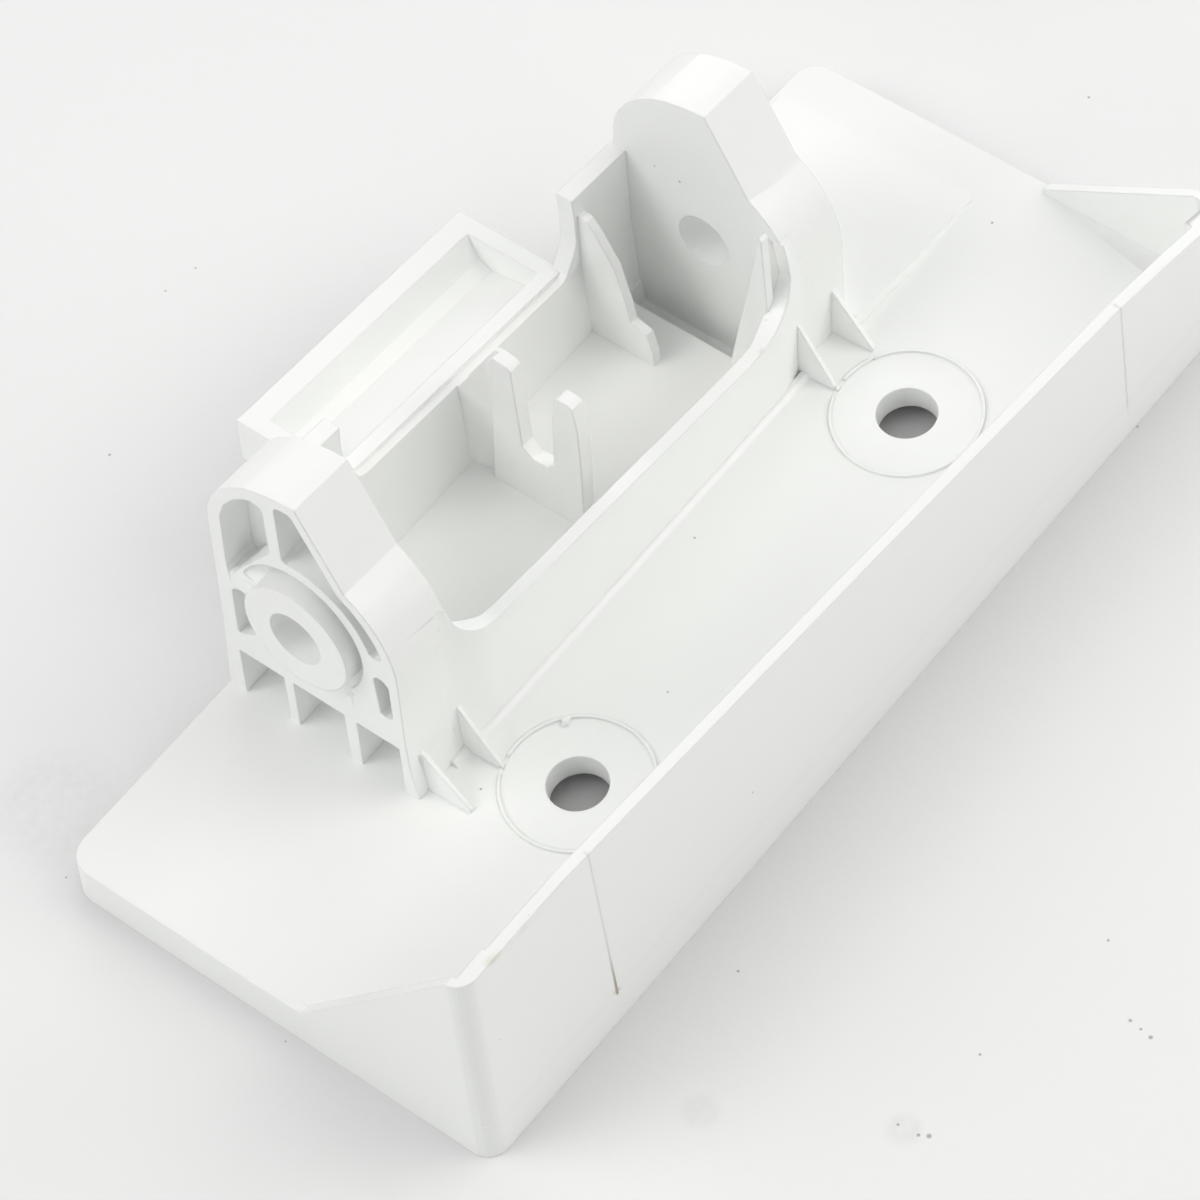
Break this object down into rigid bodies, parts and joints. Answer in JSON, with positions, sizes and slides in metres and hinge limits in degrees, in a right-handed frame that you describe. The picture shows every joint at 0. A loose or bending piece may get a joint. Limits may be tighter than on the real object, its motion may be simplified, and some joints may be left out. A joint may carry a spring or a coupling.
{
  "type": "door handle end cap",
  "caption": "Moulded cap for a door handle: a plate with screw holes, an upstand front wall and a box between two bored towers that carry an axle.",
  "frame": {"origin": "on the mounting face, midway between the two screw holes", "axes": "+Z out of the mounting face towards the towers, +X along the row of screw holes, +Y from the front wall to the tray"},
  "size_m": [0.1248, 0.0682, 0.0418],
  "materials": {
    "shell": "satin white moulded plastic"
  },
  "bodies": {
    "root": {"handle_cap": "shell"}
  },
  "joints": []
}
